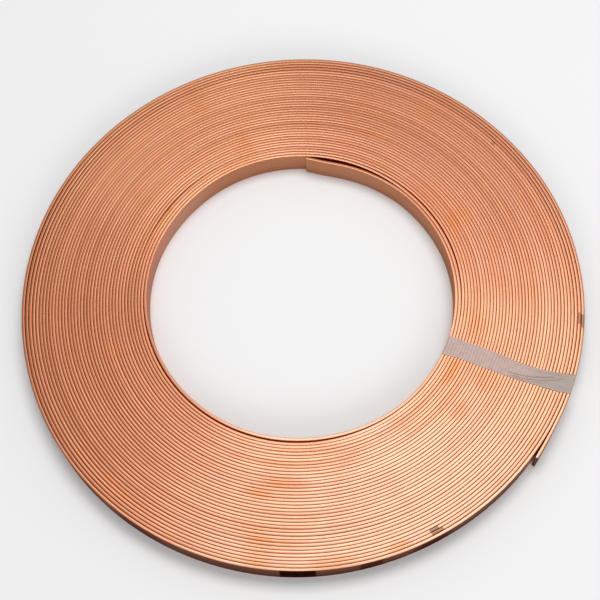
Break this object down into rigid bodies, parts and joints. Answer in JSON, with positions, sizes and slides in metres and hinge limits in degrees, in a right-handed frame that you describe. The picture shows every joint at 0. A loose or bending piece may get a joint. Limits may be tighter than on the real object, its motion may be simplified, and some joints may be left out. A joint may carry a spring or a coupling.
{
  "type": "copper strip coil",
  "caption": "Flat coil of bare copper strip wound in one spiral with an open bore and two free cut ends, held by a band of tape.",
  "frame": {"origin": "on the coil's axis, midway between the two centres its half turns are wound about, in the plane of the coil's underside", "axes": "+Z along the coil's axis, from the underside to the upper face; +X and +Y across the coil, with the inner cut end close to +Y and the band of tape in the direction 26 degrees clockwise from +X"},
  "size_m": [0.5325, 0.5316, 0.0256],
  "materials": {
    "bare_copper": "satin",
    "clear_tape": "satin"
  },
  "bodies": {
    "root": {"copper_strip": "bare_copper", "tape_band": "clear_tape"}
  },
  "joints": []
}
